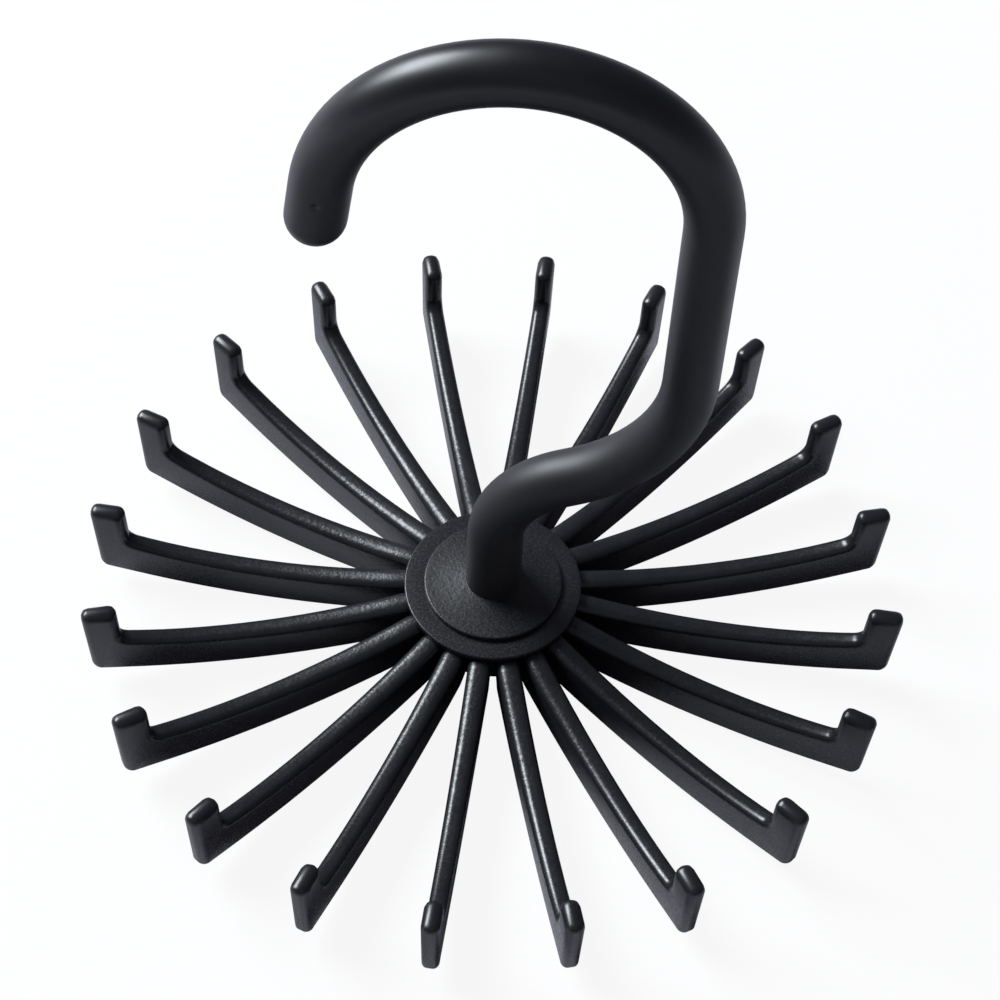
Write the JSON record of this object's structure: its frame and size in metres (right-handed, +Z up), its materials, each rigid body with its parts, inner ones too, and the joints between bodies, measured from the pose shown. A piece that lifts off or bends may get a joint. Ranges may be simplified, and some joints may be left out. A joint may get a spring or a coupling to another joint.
{
  "type": "rotating tie rack",
  "caption": "Hanging tie rack: a round rod hook with a flat star of upturned tie arms that turns freely about the hook's stem.",
  "frame": {"origin": "on the hub's axis, at the underside of the bottom cap, the rack's lowest face", "axes": "+Z up along the stem and the star's turning axis; the hook lies in the XZ plane with its leg on the +X side and its open mouth on the -X side"},
  "size_m": [0.1398, 0.1398, 0.1395],
  "materials": {
    "hook": "satin black, smooth",
    "star": "black with a fine moulded grain",
    "nylon": "natural nylon",
    "steel": "zinc plated"
  },
  "bodies": {
    "hook_body": {"hook": "hook", "retaining_screw": "steel", "retaining_washer": "steel"},
    "star_body": {"hub": "star", "cover_disc": "star", "arm_01": "star", "arm_02": "star", "arm_03": "star", "arm_04": "star", "arm_05": "star", "arm_06": "star", "arm_07": "star", "arm_08": "star", "arm_09": "star", "arm_10": "star", "arm_11": "star", "arm_12": "star", "arm_13": "star", "arm_14": "star", "arm_15": "star", "arm_16": "star", "arm_17": "star", "arm_18": "star", "arm_19": "star", "arm_20": "star", "thrust_washer": "nylon", "bottom_cap": "star"}
  },
  "joints": [
    {"name": "star_turn", "type": "hinge", "parent": "hook_body", "child": "star_body", "pos_m": [0, 0, 0.0083], "axis": [0, 0, 1], "continuous": true}
  ]
}
